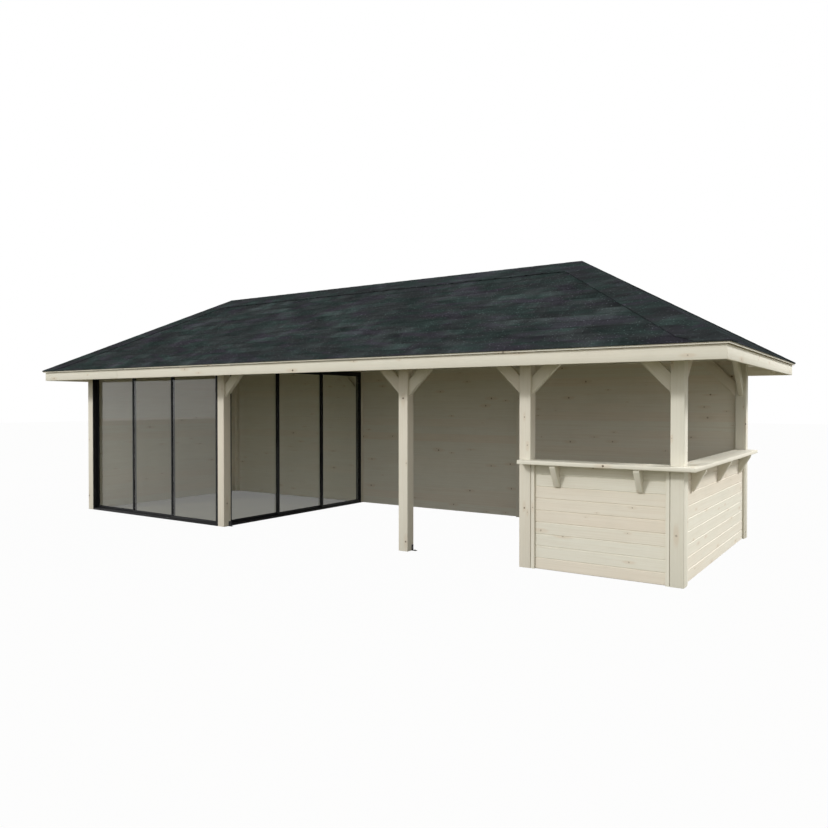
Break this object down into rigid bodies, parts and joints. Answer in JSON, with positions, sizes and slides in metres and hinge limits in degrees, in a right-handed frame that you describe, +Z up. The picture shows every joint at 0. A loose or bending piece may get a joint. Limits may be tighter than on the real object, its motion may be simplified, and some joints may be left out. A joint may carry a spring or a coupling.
{
  "type": "garden house",
  "caption": "Timber garden house with a hipped shingle roof, a room behind sliding glass walls, an open lounge and a corner bar",
  "frame": {"origin": "on the ground, under the middle of the roof's outline", "axes": "+X along the building with the front on -Y, so +X is at the right hand of someone facing the front; +Y towards the back wall; +Z up"},
  "size_m": [9.804, 3.964, 3.2681],
  "materials": {
    "spruce": "planed, untreated",
    "shingle": "mineral granules on bitumen shingles, matt",
    "anthracite": "powder coated, satin anthracite",
    "pane_glass": "clear, lightly grey toughened glass",
    "bracket_steel": "black coated steel"
  },
  "bodies": {
    "house": {"front_post_1": "spruce", "front_post_2": "spruce", "front_post_3": "spruce", "front_post_4": "spruce", "front_post_5": "spruce", "back_posts": "spruce", "front_beam": "spruce", "back_beam": "spruce", "cross_beams": "spruce", "braces": "spruce", "back_walls": "spruce", "left_wall": "spruce", "bar_panels": "spruce", "battens": "spruce", "front_bar_top": "spruce", "side_bar_top": "spruce", "bar_brackets": "spruce", "ridge_beam": "spruce", "hip_rafters": "spruce", "front_rafters": "spruce", "back_rafters": "spruce", "end_rafters": "spruce", "front_roof_boards": "spruce", "back_roof_boards": "spruce", "end_roof_boards": "spruce", "long_fascias": "spruce", "end_fascias": "spruce", "front_shingles": "shingle", "back_shingles": "shingle", "end_shingles": "shingle", "ridge_and_hip_caps": "shingle", "foot_brackets": "bracket_steel", "glass_wall_jambs": "anthracite", "glass_wall_heads": "anthracite", "glass_wall_sills": "anthracite", "fixed_leaf_frames": "anthracite", "fixed_leaf_panes": "pane_glass"},
    "front_middle_leaf": {"front_middle_leaf_frame": "anthracite", "front_middle_leaf_pane": "pane_glass"},
    "front_end_leaf": {"front_end_leaf_frame": "anthracite", "front_end_leaf_pane": "pane_glass"},
    "side_middle_leaf": {"side_middle_leaf_frame": "anthracite", "side_middle_leaf_pane": "pane_glass"},
    "side_end_leaf": {"side_end_leaf_frame": "anthracite", "side_end_leaf_pane": "pane_glass"}
  },
  "joints": [
    {"name": "front_middle_slide", "type": "slide", "parent": "house", "child": "front_middle_leaf", "axis": [-1, 0, 0], "range_m": [0, 0.907]},
    {"name": "front_end_slide", "type": "slide", "parent": "house", "child": "front_end_leaf", "axis": [-1, 0, 0], "range_m": [0, 1.82]},
    {"name": "side_middle_slide", "type": "slide", "parent": "house", "child": "side_middle_leaf", "axis": [0, -1, 0], "range_m": [0, 0.907]},
    {"name": "side_end_slide", "type": "slide", "parent": "house", "child": "side_end_leaf", "axis": [0, -1, 0], "range_m": [0, 1.82]}
  ]
}
